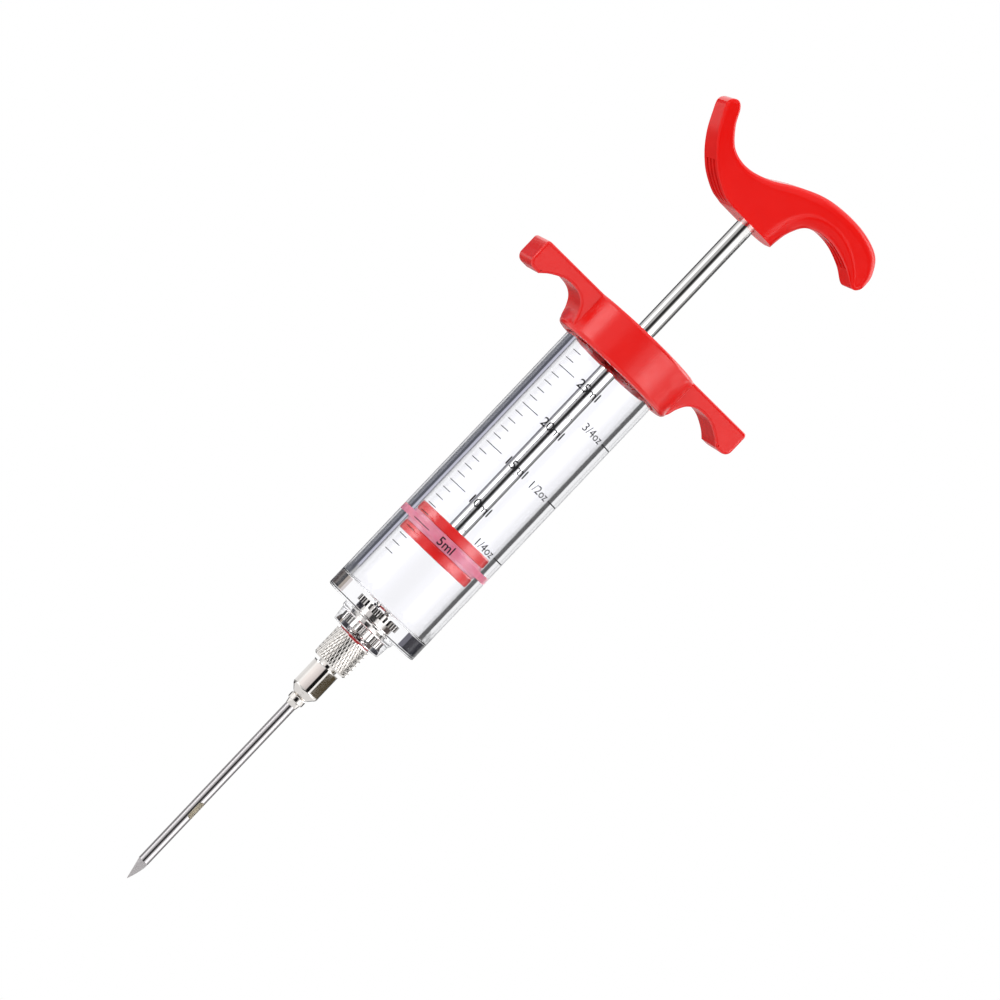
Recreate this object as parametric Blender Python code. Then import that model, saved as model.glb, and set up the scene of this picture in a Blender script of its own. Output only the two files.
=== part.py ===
"""Meat injector, 30 ml: a clear syringe with a screw-in needle, a twist-on finger cap and a palm handle.

Metres, +Z up along the syringe's axis. The origin is the needle's tip. The finger wings and the handle lie
along X. Each piece is one object, and the pieces of one moving group share an empty on their joint's axis.
"""

from math import cos, pi, radians, sin

import bmesh
import bpy
from mathutils import Matrix, Vector

# Driving dimensions, in metres.
BORE_RADIUS = 0.01115  # 30 ml takes 76.8 mm of this bore
BARREL_RADIUS = 0.01385
GAP = 0.0003  # between pieces that touch on the real object
RUNNING_FIT = 0.0001  # between pieces that slide on each other

# Heights above the needle's tip.
POINT_TOP = 0.0058
PORT_CENTRE = 0.0235
COLLAR_BOTTOM = 0.0577
HEXAGON_BOTTOM = 0.0620
HEXAGON_TOP = 0.0703
KNURL_BOTTOM = 0.0712
KNURL_TOP = 0.0801
NECK_BOTTOM = 0.0804
STUD_TOP = 0.0865
DISC_BOTTOM = 0.0858
FLOOR_TOP = 0.0906
PISTON_BOTTOM = 0.1074
SEAL_BOTTOM = 0.1101
SEAL_TOP = 0.1136
PISTON_TOP = 0.11625
CAP_BOTTOM = 0.1702
BARREL_TOP = 0.1794
CEILING = 0.1798
CAP_TOP = 0.1818
HUB_BOTTOM = 0.2186

# Needle.
TUBE_RADIUS = 0.00145
TUBE_BORE_RADIUS = 0.00105
TUBE_TOP = 0.0720
PORT_LENGTH = 0.0050
PORT_WIDTH = 0.0020
PORT_DIRECTION = radians(-56)
SPIGOT_RADIUS = 0.0010
HEXAGON_FLATS = 0.0072
HEXAGON_TURN = radians(-32.5)
DRUM_RADIUS = 0.0050
STUD_RADIUS = 0.0030
LUMEN_RADIUS = 0.0011

# Neck of the barrel.
NECK_RADIUS = 0.0073
INSERT_RADIUS = 0.00415
INSERT_BORE_RADIUS = 0.0032
SEAT_RADIUS = 0.0048
SEAT_DEPTH = 0.0015
POCKET_TOP = 0.0895
OUTLET_RADIUS = 0.0016

# Bayonet between the barrel and the cap.
LUG_RADIUS = 0.0155
LUG_BOTTOM = 0.1740
LUG_TOP = 0.1770
LUG_ANGLE = radians(30)
CAP_TWIST = radians(60)

# Finger cap.
RING_RADIUS = 0.0175
ROD_HOLE_RADIUS = 0.0026
WING_HALF_SPAN = 0.0350
WING_HALF_WIDTH = 0.0070
WING_TIP_DEPTH = 0.0075
WING_THICKNESS = 0.0039

# Plunger.
ROD_RADIUS = 0.0024
ROD_STUD_RADIUS = 0.0020
ROD_STUD_BOTTOM = 0.1073
ROD_TOP = 0.2280
PISTON_RADIUS = 0.01095
SEAL_BODY_RADIUS = 0.0106
NUT_FLATS = 0.0070
NUT_HEIGHT = 0.0020
HANDLE_INSERT_RADIUS = 0.0032
INSERT_SHOULDER = 0.2192
HANDLE_HALF_WIDTH = 0.0065
HANDLE_EDGE_RADIUS = 0.0010
SLOT_WIDTH = 0.0016
SLOT_PITCH = 0.0031

ROUND_SIDES = 64
SMALL_SIDES = 32


def clear_scene():
    for thing in list(bpy.data.objects):
        bpy.data.objects.remove(thing, do_unlink=True)


def material(name, colour, roughness, metallic=0.0, transmission=0.0):
    made = bpy.data.materials.new(name)
    made.use_nodes = True
    shader = made.node_tree.nodes["Principled BSDF"]
    shader.inputs["Base Color"].default_value = (*colour, 1.0)
    shader.inputs["Roughness"].default_value = roughness
    shader.inputs["Metallic"].default_value = metallic
    shader.inputs["Transmission Weight"].default_value = transmission
    made.diffuse_color = (*colour, 1.0)
    return made


def solid(name, bm, finish):
    """Closes a bmesh into a named object with smooth sides, sharp corners and one material."""
    bmesh.ops.recalc_face_normals(bm, faces=bm.faces)
    mesh = bpy.data.meshes.new(name)
    bm.to_mesh(mesh)
    bm.free()
    mesh.shade_smooth()
    mesh.set_sharp_from_angle(angle=radians(35))
    mesh.materials.append(finish)
    made = bpy.data.objects.new(name, mesh)
    bpy.context.scene.collection.objects.link(made)
    return made


def turned(name, outline, finish, sides=ROUND_SIDES, sweep=2 * pi, start=0.0):
    """Turns an outline of (radius, height) about the axis. One off the axis at both ends is closed."""
    bm = bmesh.new()
    points = [bm.verts.new((radius, 0.0, height)) for radius, height in outline]
    edges = [bm.edges.new(pair) for pair in zip(points, points[1:])]
    on_axis = outline[0][0] == 0.0 and outline[-1][0] == 0.0
    if not on_axis:
        edges.append(bm.edges.new((points[-1], points[0])))
    whole = sweep == 2 * pi
    geometry = points + edges
    if not whole:
        geometry.append(bm.faces.new(points))
    bmesh.ops.rotate(bm, cent=(0, 0, 0), matrix=Matrix.Rotation(start, 3, "Z"), verts=points)
    bmesh.ops.spin(
        bm,
        geom=geometry,
        cent=(0, 0, 0),
        axis=(0, 0, 1),
        angle=sweep,
        steps=sides,
        use_merge=whole,
    )
    bmesh.ops.remove_doubles(bm, verts=bm.verts, dist=1e-7)
    return solid(name, bm, finish)


def extruded(name, outline, half_width, finish, centre_y=0.0, edge_radius=0.0):
    """Extrudes an outline of (x, z) along Y, and rounds the two rims of its faces."""
    bm = bmesh.new()
    front = bm.faces.new([bm.verts.new((x, centre_y - half_width, z)) for x, z in outline])
    made = bmesh.ops.extrude_face_region(bm, geom=[front])
    moved = [item for item in made["geom"] if isinstance(item, bmesh.types.BMVert)]
    bmesh.ops.translate(bm, verts=moved, vec=(0, 2 * half_width, 0))
    if edge_radius:
        rims = [edge for edge in bm.edges if abs(edge.verts[0].co.y - edge.verts[1].co.y) < 1e-9]
        bmesh.ops.bevel(bm, geom=rims, offset=edge_radius, segments=2, profile=0.5, affect="EDGES")
    return solid(name, bm, finish)


def prism(name, flats, bottom, top, finish, turn=0.0, chamfer=0.0):
    """A hexagonal prism, by its width across flats."""
    bm = bmesh.new()
    corner = flats / 2 / cos(pi / 6)
    bmesh.ops.create_cone(
        bm, cap_ends=True, segments=6, radius1=corner, radius2=corner, depth=top - bottom
    )
    place = Matrix.Translation((0, 0, (top + bottom) / 2)) @ Matrix.Rotation(turn, 4, "Z")
    bmesh.ops.transform(bm, matrix=place, verts=bm.verts)
    if chamfer:
        rims = [edge for edge in bm.edges if abs(edge.verts[0].co.z - edge.verts[1].co.z) < 1e-9]
        bmesh.ops.bevel(bm, geom=rims, offset=chamfer, segments=1, affect="EDGES")
    return solid(name, bm, finish)


def helper(thing):
    """Keeps a cutter or a joined shape out of the model itself."""
    thing.hide_render = True
    thing.display_type = "WIRE"
    return thing


def combined(thing, operation, others):
    for other in others:
        step = thing.modifiers.new(other.name, "BOOLEAN")
        step.operation = operation
        step.solver = "EXACT"
        step.object = helper(other)
    return thing


def rounded(corner, radius, first, last, steps=4):
    """Points of a quarter-round: its centre is corner, and the angles are in degrees."""
    x, z = corner
    angles = [radians(first + (last - first) * step / steps) for step in range(steps + 1)]
    return [(x + radius * cos(angle), z + radius * sin(angle)) for angle in angles]


def smooth_curve(points, per_span=4):
    """A Catmull-Rom curve through points, with both ends kept."""
    ends = [points[0]] + list(points) + [points[-1]]
    curve = []
    for a, b, c, d in zip(ends, ends[1:], ends[2:], ends[3:]):
        a, b, c, d = Vector(a), Vector(b), Vector(c), Vector(d)
        for step in range(per_span):
            t = step / per_span
            place = 2 * b + (c - a) * t + (2 * a - 5 * b + 4 * c - d) * t * t
            place += (3 * b - a - 3 * c + d) * t * t * t
            curve.append(tuple(place / 2))
    return curve + [tuple(points[-1])]


def pivot(name, height):
    made = bpy.data.objects.new(name, None)
    made.location = (0, 0, height)
    bpy.context.scene.collection.objects.link(made)
    return made


def carry(parent, children):
    bpy.context.view_layer.update()
    for child in children:
        child.parent = parent
        child.matrix_parent_inverse = parent.matrix_world.inverted()


def needle_point(steel):
    """A solid ground point, pressed into the tube by its spigot."""
    slices = 5
    taper = []
    for step in range(slices + 1):
        part = step / slices
        taper.append((TUBE_RADIUS * (1 - (1 - part) ** 1.6), POINT_TOP * part))
    spigot_top = POINT_TOP + 0.0042
    spigot = [(SPIGOT_RADIUS, POINT_TOP), (SPIGOT_RADIUS, spigot_top), (0.0, spigot_top)]
    return turned("needle_point", taper + spigot, steel, SMALL_SIDES)


def needle_tube(steel):
    """A tube that the point closes, with one side port for the marinade."""
    bottom = POINT_TOP + RUNNING_FIT
    wall = [
        (TUBE_RADIUS, bottom),
        (TUBE_RADIUS, TUBE_TOP),
        (TUBE_BORE_RADIUS, TUBE_TOP),
        (TUBE_BORE_RADIUS, bottom),
    ]
    tube = turned("needle_tube", wall, steel, SMALL_SIDES)
    corner = PORT_WIDTH / 4
    across = PORT_WIDTH / 2 - corner
    along = PORT_LENGTH / 2 - corner
    window = []
    for x, z, first in ((1, 1, 0), (-1, 1, 90), (-1, -1, 180), (1, -1, 270)):
        window += rounded((x * across, PORT_CENTRE + z * along), corner, first, first + 90)
    cutter = extruded("port_cutter", window, TUBE_RADIUS, steel, centre_y=-TUBE_RADIUS)
    cutter.rotation_euler.z = PORT_DIRECTION + pi / 2
    return combined(tube, "DIFFERENCE", [cutter])


def needle_base(nickel):
    """Collar, bead, cone, hexagon, groove, drum and threaded stud, all one piece."""
    bead_centre = COLLAR_BOTTOM + 0.00215
    edge = 0.0004
    outline = [(0.0, COLLAR_BOTTOM), (0.00180, COLLAR_BOTTOM), (0.00195, bead_centre - 0.00075)]
    outline += rounded((0.00150, bead_centre), 0.00075, -60, 60)
    outline += [
        (0.0021, bead_centre + 0.00075),
        (0.0031, HEXAGON_BOTTOM),
        (0.0031, HEXAGON_TOP - edge),
        (0.0026, HEXAGON_TOP),
        (0.0026, KNURL_BOTTOM),
        (DRUM_RADIUS - edge, KNURL_BOTTOM),
        (DRUM_RADIUS, KNURL_BOTTOM + edge),
        (DRUM_RADIUS, KNURL_TOP - edge),
        (DRUM_RADIUS - edge, KNURL_TOP),
        (STUD_RADIUS, KNURL_TOP),
        (STUD_RADIUS, STUD_TOP - edge),
        (STUD_RADIUS - edge, STUD_TOP),
        (0.0, STUD_TOP),
    ]
    bore_radius = TUBE_RADIUS + RUNNING_FIT / 2
    bore = [
        (0.0, COLLAR_BOTTOM - GAP),
        (bore_radius, COLLAR_BOTTOM - GAP),
        (bore_radius, TUBE_TOP + GAP),
        (LUMEN_RADIUS, TUBE_TOP + GAP),
        (LUMEN_RADIUS, STUD_TOP + GAP),
        (0.0, STUD_TOP + GAP),
    ]
    base = turned("needle_base", outline, nickel, SMALL_SIDES)
    hexagon = prism("hexagon", HEXAGON_FLATS, HEXAGON_BOTTOM, HEXAGON_TOP, nickel, HEXAGON_TURN, edge)
    combined(base, "UNION", [hexagon])
    return combined(base, "DIFFERENCE", [turned("lumen_cutter", bore, nickel, SMALL_SIDES)])


def needle_gasket(silicone):
    bottom = NECK_BOTTOM
    top = NECK_BOTTOM + SEAT_DEPTH - GAP
    inner = STUD_RADIUS + GAP
    outer = SEAT_RADIUS - GAP
    ring = [(outer, bottom), (outer, top), (inner, top), (inner, bottom)]
    return turned("needle_gasket", ring, silicone, SMALL_SIDES)


def neck_insert(nickel):
    """A thread insert moulded into the neck, with two knurled bands and a plain waist that keys it."""
    bottom = NECK_BOTTOM + SEAT_DEPTH + GAP
    top = POCKET_TOP - GAP
    waist = INSERT_RADIUS - 0.0005
    outline = [
        (INSERT_RADIUS, bottom),
        (INSERT_RADIUS, bottom + 0.0030),
        (waist, bottom + 0.0033),
        (waist, top - 0.0023),
        (INSERT_RADIUS, top - 0.0020),
        (INSERT_RADIUS, top),
        (INSERT_BORE_RADIUS, top),
        (INSERT_BORE_RADIUS, bottom),
    ]
    return turned("neck_insert", outline, nickel, SMALL_SIDES)


def barrel(plastic):
    """Thick clear tube on a solid base disc and a short neck, with two bayonet lugs under the cap."""
    pocket = INSERT_RADIUS + GAP
    corner = 0.0006
    fillet = 0.0010
    outline = [
        (SEAT_RADIUS, NECK_BOTTOM),
        (NECK_RADIUS - corner, NECK_BOTTOM),
        (NECK_RADIUS, NECK_BOTTOM + corner),
        (NECK_RADIUS, DISC_BOTTOM - corner),
        (NECK_RADIUS + corner, DISC_BOTTOM),
    ]
    outline += rounded((BARREL_RADIUS - corner, DISC_BOTTOM + corner), corner, -90, 0, 2)
    outline += [(BARREL_RADIUS, BARREL_TOP), (BORE_RADIUS, BARREL_TOP)]
    outline += rounded((BORE_RADIUS - fillet, FLOOR_TOP + fillet), fillet, 0, -90, 3)
    outline += [
        (OUTLET_RADIUS + corner, FLOOR_TOP),
        (OUTLET_RADIUS, FLOOR_TOP - corner),
        (OUTLET_RADIUS, POCKET_TOP),
        (pocket, POCKET_TOP),
        (pocket, NECK_BOTTOM + SEAT_DEPTH),
        (SEAT_RADIUS, NECK_BOTTOM + SEAT_DEPTH),
    ]
    body = turned("barrel", outline, plastic)
    inside = (BORE_RADIUS + BARREL_RADIUS) / 2
    block = [(inside, LUG_BOTTOM), (LUG_RADIUS, LUG_BOTTOM), (LUG_RADIUS, LUG_TOP), (inside, LUG_TOP)]
    lugs = []
    for side in (pi / 2, -pi / 2):
        start = side - LUG_ANGLE / 2
        lugs.append(turned("lug", block, plastic, 6, sweep=LUG_ANGLE, start=start))
    return combined(body, "UNION", lugs)


def wing_outline():
    """Both wings seen from the front: flat on top, blunt at the tips, scooped for a finger underneath."""
    corner = 0.0020
    scoop = [
        (WING_HALF_SPAN - 0.0038, CAP_TOP - WING_TIP_DEPTH),
        (0.0290, CAP_TOP - 0.0057),
        (0.0252, CAP_TOP - WING_THICKNESS),
        (0.0210, CAP_TOP - WING_THICKNESS - 0.0002),
        (0.0180, CAP_TOP - 0.0054),
        (0.0166, CAP_TOP - 0.0085),
    ]
    tip = [(WING_HALF_SPAN, CAP_TOP)]
    tip += rounded(
        (WING_HALF_SPAN - corner, CAP_TOP - WING_TIP_DEPTH + corner), corner, 0, -90, 3
    )
    right = tip + smooth_curve(scoop, 3)
    left = [(-x, z) for x, z in reversed(right)]
    return right + left


def finger_cap(plastic):
    """Ring with two finger wings, a roof that the rod runs through, and slots for the bayonet lugs."""
    lip = 0.0008
    outline = [
        (0.0, CAP_BOTTOM),
        (RING_RADIUS - lip, CAP_BOTTOM),
        (RING_RADIUS, CAP_BOTTOM + lip),
        (RING_RADIUS, CAP_TOP - lip),
        (RING_RADIUS - lip, CAP_TOP),
        (0.0, CAP_TOP),
    ]
    cap = turned("finger_cap", outline, plastic)
    wings = extruded("wings", wing_outline(), WING_HALF_WIDTH, plastic)
    combined(cap, "UNION", [wings])
    bore = BARREL_RADIUS + GAP
    hollow = [
        (0.0, CAP_BOTTOM - GAP),
        (bore, CAP_BOTTOM - GAP),
        (bore, CEILING),
        (ROD_HOLE_RADIUS, CEILING),
        (ROD_HOLE_RADIUS, CAP_TOP + GAP),
        (0.0, CAP_TOP + GAP),
    ]
    cutters = [turned("cap_bore_cutter", hollow, plastic)]
    inside = BORE_RADIUS
    outside = LUG_RADIUS + GAP
    margin = radians(1.5)
    for side in (pi / 2, -pi / 2):
        entry = side - CAP_TWIST
        start = entry - LUG_ANGLE / 2 - margin
        groove = [
            (inside, LUG_BOTTOM - GAP),
            (outside, LUG_BOTTOM - GAP),
            (outside, LUG_TOP + GAP),
            (inside, LUG_TOP + GAP),
        ]
        sweep = CAP_TWIST + LUG_ANGLE + 2 * margin
        cutters.append(turned("groove_cutter", groove, plastic, 18, sweep=sweep, start=start))
        slot = [
            (inside, CAP_BOTTOM - GAP),
            (outside, CAP_BOTTOM - GAP),
            (outside, LUG_TOP),
            (inside, LUG_TOP),
        ]
        sweep = LUG_ANGLE + 2 * margin
        cutters.append(turned("entry_cutter", slot, plastic, 6, sweep=sweep, start=start))
    return combined(cap, "DIFFERENCE", cutters)


def piston_seal(silicone):
    rim = BORE_RADIUS - RUNNING_FIT
    bottom = SEAL_BOTTOM + GAP
    top = SEAL_TOP - GAP
    hole = ROD_STUD_RADIUS + GAP
    outline = [
        (hole, bottom),
        (SEAL_BODY_RADIUS, bottom),
        (rim, bottom + 0.0008),
        (rim, top - 0.0008),
        (SEAL_BODY_RADIUS, top),
        (hole, top),
    ]
    return turned("piston_seal", outline, silicone)


def piston_upper_disc(plastic):
    corner = 0.0004
    hole = ROD_STUD_RADIUS + GAP
    outline = [(hole, SEAL_TOP)]
    outline += rounded((PISTON_RADIUS - corner, SEAL_TOP + corner), corner, -90, 0, 2)
    outline += rounded((PISTON_RADIUS - corner, PISTON_TOP - corner), corner, 0, 90, 2)
    outline += [(hole, PISTON_TOP)]
    return turned("piston_upper_disc", outline, plastic)


def piston_lower_disc(plastic):
    """The disc under the seal, with a hexagonal pocket that holds the nut."""
    corner = 0.0004
    hole = ROD_STUD_RADIUS + GAP
    outline = [(hole, PISTON_BOTTOM)]
    outline += rounded((PISTON_RADIUS - corner, PISTON_BOTTOM + corner), corner, -90, 0, 2)
    outline += rounded((PISTON_RADIUS - corner, SEAL_BOTTOM - corner), corner, 0, 90, 2)
    outline += [(hole, SEAL_BOTTOM)]
    disc = turned("piston_lower_disc", outline, plastic)
    pocket_top = ROD_STUD_BOTTOM + NUT_HEIGHT + GAP
    pocket = prism("nut_pocket_cutter", NUT_FLATS + 2 * GAP, PISTON_BOTTOM - GAP, pocket_top, plastic)
    return combined(disc, "DIFFERENCE", [pocket])


def piston_nut(steel):
    nut = prism("piston_nut", NUT_FLATS, ROD_STUD_BOTTOM, ROD_STUD_BOTTOM + NUT_HEIGHT, steel)
    hole = ROD_STUD_RADIUS + RUNNING_FIT
    thread = [
        (0.0, ROD_STUD_BOTTOM - GAP),
        (hole, ROD_STUD_BOTTOM - GAP),
        (hole, ROD_STUD_BOTTOM + NUT_HEIGHT + GAP),
        (0.0, ROD_STUD_BOTTOM + NUT_HEIGHT + GAP),
    ]
    return combined(nut, "DIFFERENCE", [turned("nut_thread_cutter", thread, steel, SMALL_SIDES)])


def rod(steel):
    """Polished rod, stepped down at both ends for its threads."""
    shoulder = PISTON_TOP + GAP
    outline = [
        (0.0, ROD_STUD_BOTTOM),
        (ROD_STUD_RADIUS, ROD_STUD_BOTTOM),
        (ROD_STUD_RADIUS, shoulder),
        (ROD_RADIUS, shoulder),
        (ROD_RADIUS, INSERT_SHOULDER),
        (ROD_STUD_RADIUS, INSERT_SHOULDER),
        (ROD_STUD_RADIUS, ROD_TOP),
        (0.0, ROD_TOP),
    ]
    return turned("plunger_rod", outline, steel, SMALL_SIDES)


def handle_insert(brass):
    """Thread insert that the handle is moulded around."""
    bottom = INSERT_SHOULDER + GAP
    top = ROD_TOP
    hole = ROD_STUD_RADIUS + RUNNING_FIT
    waist = HANDLE_INSERT_RADIUS - 0.0005
    middle = (bottom + top) / 2
    outline = [
        (HANDLE_INSERT_RADIUS, bottom),
        (HANDLE_INSERT_RADIUS, middle - 0.0010),
        (waist, middle - 0.0007),
        (waist, middle + 0.0007),
        (HANDLE_INSERT_RADIUS, middle + 0.0010),
        (HANDLE_INSERT_RADIUS, top),
        (hole, top),
        (hole, bottom),
    ]
    return turned("handle_insert", outline, brass, SMALL_SIDES)


def handle_outline():
    """The S-shaped handle seen from the front: thumb rest on the left, palm arch on the right."""
    over = [
        (-0.0263, 0.0177),
        (-0.0242, 0.0194),
        (-0.0216, 0.0184),
        (-0.0196, 0.0140),
        (-0.0160, 0.0103),
        (-0.0110, 0.0094),
        (-0.0050, 0.0112),
        (0.0016, 0.0147),
        (0.0084, 0.0173),
        (0.0155, 0.0183),
        (0.0225, 0.0178),
        (0.0279, 0.0158),
        (0.0306, 0.0122),
        (0.0301, 0.0076),
        (0.0277, 0.0059),
        (0.0240, 0.0080),
        (0.0197, 0.0097),
        (0.0148, 0.0100),
        (0.0104, 0.0087),
        (0.0084, 0.0055),
        (0.0074, 0.0000),
    ]
    under = [
        (-0.0064, 0.0000),
        (-0.0102, 0.0004),
        (-0.0135, 0.0019),
        (-0.0165, 0.0038),
        (-0.0198, 0.0068),
        (-0.0226, 0.0104),
        (-0.0247, 0.0142),
        (-0.0263, 0.0177),
    ]
    outline = smooth_curve(over, 3) + smooth_curve(under, 3)[:-1]
    return [(x, HUB_BOTTOM + z) for x, z in outline]


def handle(plastic):
    """Handle cored from below by long slots in both arms, with the insert's pocket in its hub."""
    body = extruded("handle", handle_outline(), HANDLE_HALF_WIDTH, plastic, edge_radius=HANDLE_EDGE_RADIUS)
    pocket = HANDLE_INSERT_RADIUS + GAP
    entry = ROD_RADIUS + RUNNING_FIT
    hollow = [
        (0.0, HUB_BOTTOM - GAP),
        (entry, HUB_BOTTOM - GAP),
        (entry, INSERT_SHOULDER),
        (pocket, INSERT_SHOULDER),
        (pocket, ROD_TOP + GAP),
        (0.0, ROD_TOP + GAP),
    ]
    cutters = [turned("insert_pocket_cutter", hollow, plastic, SMALL_SIDES)]
    palm = [(0.0125, 0.0), (0.0125, 0.0130), (0.0190, 0.0138), (0.0250, 0.0118), (0.0250, 0.0)]
    thumb = [(-0.0175, 0.0), (-0.0175, 0.0078), (-0.0120, 0.0055), (-0.0085, 0.0040), (-0.0085, -0.001)]
    for slot in range(-1, 2):
        for side in (palm, thumb):
            outline = [(x, HUB_BOTTOM + z) for x, z in side]
            centre = slot * SLOT_PITCH
            cutters.append(
                extruded("slot_cutter", outline, SLOT_WIDTH / 2, plastic, centre_y=centre)
            )
    return combined(body, "DIFFERENCE", cutters)


clear_scene()

red = material("red plastic", (0.72, 0.02, 0.015), 0.32)
clear = material("clear plastic", (0.97, 0.97, 1.0), 0.04, transmission=1.0)
steel = material("polished steel", (0.72, 0.71, 0.70), 0.12, metallic=1.0)
matt_steel = material("ground steel", (0.60, 0.58, 0.57), 0.45, metallic=0.8)
nickel = material("nickel plate", (0.70, 0.69, 0.66), 0.18, metallic=1.0)
brass = material("brass", (0.78, 0.60, 0.28), 0.30, metallic=1.0)
pink_silicone = material("pink silicone", (0.80, 0.32, 0.32), 0.40)
red_silicone = material("red silicone", (0.62, 0.03, 0.03), 0.45)

needle_pivot = pivot("needle_axis", KNURL_TOP)
cap_pivot = pivot("cap_axis", CAP_BOTTOM)
plunger_pivot = pivot("plunger_axis", PISTON_BOTTOM)

barrel(clear)
neck_insert(nickel)
carry(
    needle_pivot,
    [needle_gasket(red_silicone), needle_base(nickel), needle_tube(steel), needle_point(matt_steel)],
)
carry(cap_pivot, [finger_cap(red)])
carry(
    plunger_pivot,
    [
        piston_lower_disc(red),
        piston_seal(pink_silicone),
        piston_upper_disc(red),
        piston_nut(steel),
        rod(steel),
        handle_insert(brass),
        handle(red),
    ],
)
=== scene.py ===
from math import asin, cos, pi, radians, sin, tan

import bmesh
import bpy
from mathutils import Matrix, Vector


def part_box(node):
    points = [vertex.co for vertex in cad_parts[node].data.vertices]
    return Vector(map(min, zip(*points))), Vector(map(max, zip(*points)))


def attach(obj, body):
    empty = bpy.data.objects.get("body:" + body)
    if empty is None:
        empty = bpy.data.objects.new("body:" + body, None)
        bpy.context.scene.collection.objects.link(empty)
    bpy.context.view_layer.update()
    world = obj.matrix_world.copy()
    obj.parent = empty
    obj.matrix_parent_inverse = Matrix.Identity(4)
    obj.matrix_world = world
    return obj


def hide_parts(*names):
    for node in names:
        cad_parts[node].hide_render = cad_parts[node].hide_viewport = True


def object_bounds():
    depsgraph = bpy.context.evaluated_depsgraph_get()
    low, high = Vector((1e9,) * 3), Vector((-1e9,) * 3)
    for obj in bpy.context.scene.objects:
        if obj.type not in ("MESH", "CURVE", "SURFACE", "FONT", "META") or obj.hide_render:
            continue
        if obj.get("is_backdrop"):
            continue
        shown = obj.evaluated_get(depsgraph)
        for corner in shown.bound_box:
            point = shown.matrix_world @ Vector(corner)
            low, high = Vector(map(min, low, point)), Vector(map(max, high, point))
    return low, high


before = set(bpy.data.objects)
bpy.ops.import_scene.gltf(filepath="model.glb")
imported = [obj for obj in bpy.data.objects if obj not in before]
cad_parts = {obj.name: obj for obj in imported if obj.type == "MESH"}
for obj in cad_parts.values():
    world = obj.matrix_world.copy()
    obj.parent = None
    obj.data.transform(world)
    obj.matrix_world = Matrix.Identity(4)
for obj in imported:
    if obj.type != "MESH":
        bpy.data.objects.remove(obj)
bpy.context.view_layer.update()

MM = 0.001

# Sizes read from the frame.
barrel_low, barrel_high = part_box("barrel")
_, seal_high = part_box("piston_seal")
upper_low, upper_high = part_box("piston_upper_disc")
_, lower_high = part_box("piston_lower_disc")
rod_low, rod_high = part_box("plunger_rod")
cap_low, cap_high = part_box("finger_cap")
handle_low, handle_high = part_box("handle")
base_low, base_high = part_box("needle_base")
_, tube_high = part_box("needle_tube")
point_low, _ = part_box("needle_point")
_, gasket_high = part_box("needle_gasket")
insert_low, insert_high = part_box("neck_insert")
grip_insert_low, grip_insert_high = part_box("handle_insert")

BARREL_RADIUS = barrel_high.x
BORE_RADIUS = seal_high.x + 0.1 * MM
NECK_BOTTOM = barrel_low.z
BARREL_TOP = barrel_high.z
DISC_BOTTOM = NECK_BOTTOM + 5.4 * MM
FLOOR_TOP = NECK_BOTTOM + 10.2 * MM
SEAT_TOP = NECK_BOTTOM + 0.35 * MM
TUBE_RADIUS = tube_high.x
TUBE_BORE = 1.05 * MM
POINT_LENGTH = 5.75 * MM
DRUM_RADIUS = base_high.x
DRUM_TOP = NECK_BOTTOM - 0.3 * MM
DRUM_BOTTOM = DRUM_TOP - 8.9 * MM
HEXAGON_TOP = DRUM_BOTTOM - 0.9 * MM
HEXAGON_BOTTOM = HEXAGON_TOP - 8.3 * MM
HEXAGON_APOTHEM = 3.6 * MM
HEXAGON_CORNER = HEXAGON_APOTHEM / cos(pi / 6)
INSERT_RADIUS = insert_high.x
INSERT_TOP = insert_high.z + 0.25 * MM
INSERT_BOTTOM = insert_low.z - 0.25 * MM
ROD_RADIUS = rod_high.x
ROD_STUD_RADIUS = 2.0 * MM
DISC_HOLE = 2.1 * MM
PISTON_RADIUS = upper_high.x
RING_RADIUS = cap_high.y
WING_TIP = cap_high.x
CAP_TOP = cap_high.z
CAP_BOTTOM = cap_low.z
HUB_BOTTOM = handle_low.z
HANDLE_HALF_WIDTH = handle_high.y
SLOT_WIDTH = 1.5 * MM
SLOT_PITCH = 3.1 * MM
WING_HALF_WIDTH = 7.0 * MM

# Bayonet: lugs on the barrel, and how far the cap turns from its slots.
LUG_RADIUS = 15.5 * MM
LUG_BOTTOM = CAP_BOTTOM + 3.8 * MM
LUG_TOP = LUG_BOTTOM + 3.0 * MM
LUG_ANGLE = radians(30)
CAP_TWIST = radians(60)

# Distance from an edge to the points that keep the shading next to it even.
EDGE_MARGIN = 0.12 * MM

# Distance from the barrel to the ink on it.
INK_GAP = 0.004 * MM

# The camera stands at this azimuth, and the picture is turned so that the syringe leans to
# the right.
CAMERA_AZIMUTH = radians(-16)
FACING_CAMERA = CAMERA_AZIMUTH - pi / 2
CAMERA_DISTANCE = 0.93
CAMERA_HEIGHT = 0.114
CAMERA_LENS = 137.8
CAMERA_ROLL = radians(43.5)
AIM_HEIGHT = 0.1288
AIM_ASIDE = 2.5 * MM

TOWARDS_CAMERA = Vector((sin(CAMERA_AZIMUTH), -cos(CAMERA_AZIMUTH), 0))
TO_THE_RIGHT = Vector((cos(CAMERA_AZIMUTH), sin(CAMERA_AZIMUTH), 0))


# Meshes


def placed(name, data):
    """A new object in the scene."""
    made = bpy.data.objects.new(name, data)
    bpy.context.scene.collection.objects.link(made)
    return made


def add_rings(bm, rings, closed):
    """Joins rings of points with quads. A tube not closed on itself gets a cap at each end."""
    made = [[bm.verts.new(point) for point in ring] for ring in rings]
    pairs = list(zip(made, made[1:]))
    if closed:
        pairs.append((made[-1], made[0]))
    else:
        bm.faces.new(made[0])
        bm.faces.new(made[-1])
    for low, high in pairs:
        for i in range(len(low)):
            j = (i + 1) % len(low)
            bm.faces.new((low[i], low[j], high[j], high[i]))


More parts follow.
